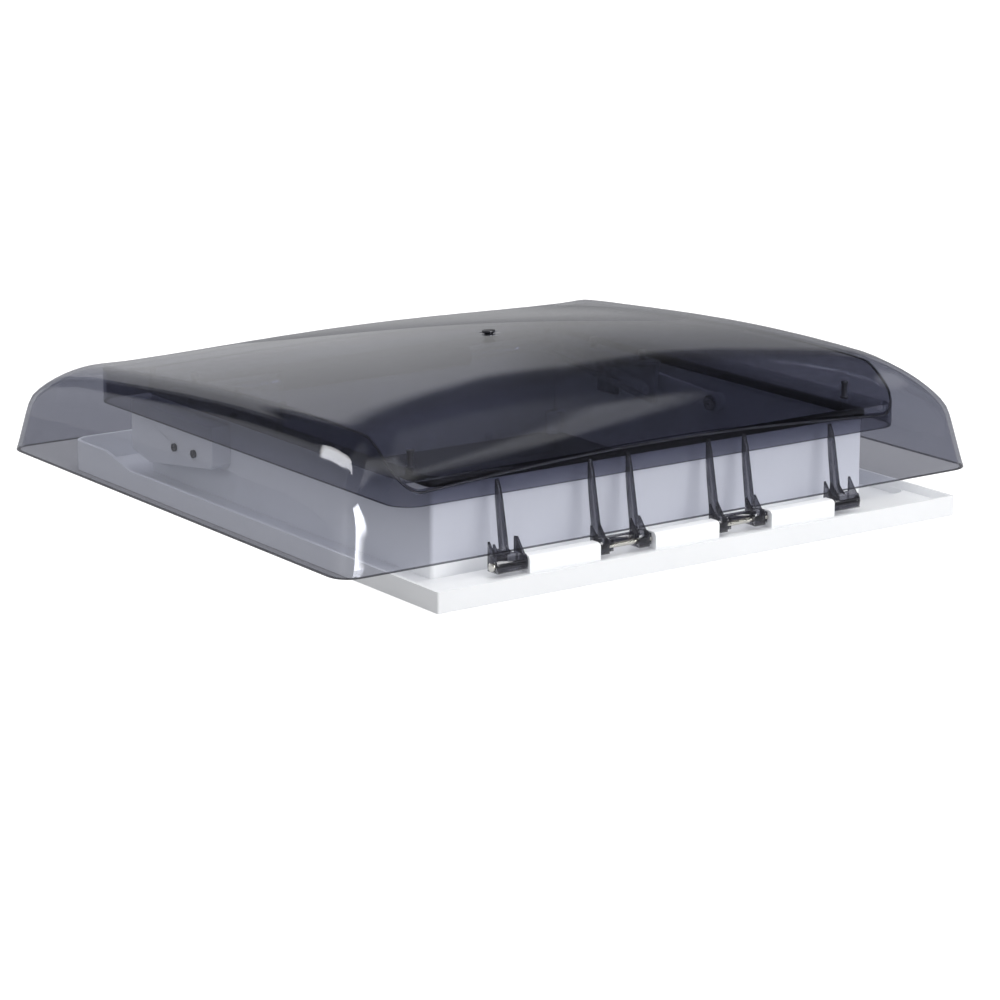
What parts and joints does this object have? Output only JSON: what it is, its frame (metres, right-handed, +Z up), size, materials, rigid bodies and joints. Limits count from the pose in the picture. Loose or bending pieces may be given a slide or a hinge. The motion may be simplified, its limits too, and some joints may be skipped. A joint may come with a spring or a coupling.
{
  "type": "roof vent cover",
  "caption": "Square roof vent for a leisure vehicle: white base frame with upstand, smoked double-skin dome hinged along one side and a push-up bow with guide rails and catches.",
  "frame": {"origin": "centre of the square roof opening, on the roof's outer surface (underside of the base frame)", "axes": "+X runs along the hinge, +Y points away from the hinge to the rear edge, +Z points up out of the vehicle"},
  "size_m": [0.5804, 0.5279, 0.1404],
  "materials": {
    "white_plastic": "satin moulded",
    "white_cover": "satin moulded",
    "smoked_acrylic": "polished, smoke tinted, see-through",
    "inner_acrylic": "polished, smoke tinted, see-through",
    "dark_plastic": "satin moulded",
    "grey_plastic": "satin moulded",
    "arm_plastic": "satin moulded",
    "catch_plastic": "satin moulded",
    "bar_aluminium": "drawn tube",
    "grip_rubber": "matte",
    "black_rubber": "matte extruded",
    "grey_seal": "closed-cell strip",
    "steel": "ground",
    "screw_steel": "blackened",
    "spring_steel": "drawn wire"
  },
  "bodies": {
    "base": {"base_frame": "white_plastic", "upstand_gasket": "black_rubber", "roof_seal": "grey_seal", "hinge_rod": "steel", "hinge_rod_clip": "steel", "side_housing_left": "white_cover", "side_housing_right": "white_cover", "housing_screws": "screw_steel", "bow_pivot_pin_left": "steel", "bow_pivot_pin_right": "steel", "catch_spring_left": "spring_steel", "catch_spring_right": "spring_steel"},
    "lid": {"outer_dome": "smoked_acrylic", "inner_pane": "inner_acrylic", "dome_plug": "dark_plastic", "pane_studs": "dark_plastic", "hinge_bracket_outer_left": "dark_plastic", "hinge_bracket_outer_right": "dark_plastic", "hinge_bracket_inner_left": "dark_plastic", "hinge_bracket_inner_right": "dark_plastic", "guide_rail_left": "grey_plastic", "guide_rail_right": "grey_plastic", "guide_rail_screws": "screw_steel", "guide_rail_nuts": "dark_plastic"},
    "bow": {"bow_arm_left": "arm_plastic", "bow_arm_right": "arm_plastic", "bow_bush_left": "grey_plastic", "bow_bush_right": "grey_plastic", "bow_crossbar": "bar_aluminium", "crossbar_end_caps": "dark_plastic", "crossbar_grip": "grip_rubber"},
    "roller_left": {"guide_roller_left": "grey_plastic"},
    "roller_right": {"guide_roller_right": "grey_plastic"},
    "catch_left": {"catch_left": "catch_plastic"},
    "catch_right": {"catch_right": "catch_plastic"}
  },
  "joints": [
    {"name": "lid_hinge", "type": "hinge", "parent": "base", "child": "lid", "pos_m": [0, -0.234, 0.0165], "axis": [1, 0, 0], "range_deg": [0, 50]},
    {"name": "bow_pivot", "type": "hinge", "parent": "base", "child": "bow", "pos_m": [0, -0.03, 0.052], "axis": [1, 0, 0], "range_deg": [0, 100]},
    {"name": "roller_left_spin", "type": "hinge", "parent": "bow", "child": "roller_left", "pos_m": [-0.179, 0.17653, 0.06691], "axis": [1, 0, 0], "continuous": true},
    {"name": "roller_right_spin", "type": "hinge", "parent": "bow", "child": "roller_right", "pos_m": [0.179, 0.17653, 0.06691], "axis": [1, 0, 0], "continuous": true},
    {"name": "catch_left_slide", "type": "slide", "parent": "base", "child": "catch_left", "axis": [1, 0, 0], "range_m": [0, 0.005]},
    {"name": "catch_right_slide", "type": "slide", "parent": "base", "child": "catch_right", "axis": [-1, 0, 0], "range_m": [0, 0.005]}
  ],
  "couplings": [
    {"joint": "bow_pivot", "follows": "lid_hinge", "ratio": 2}
  ]
}
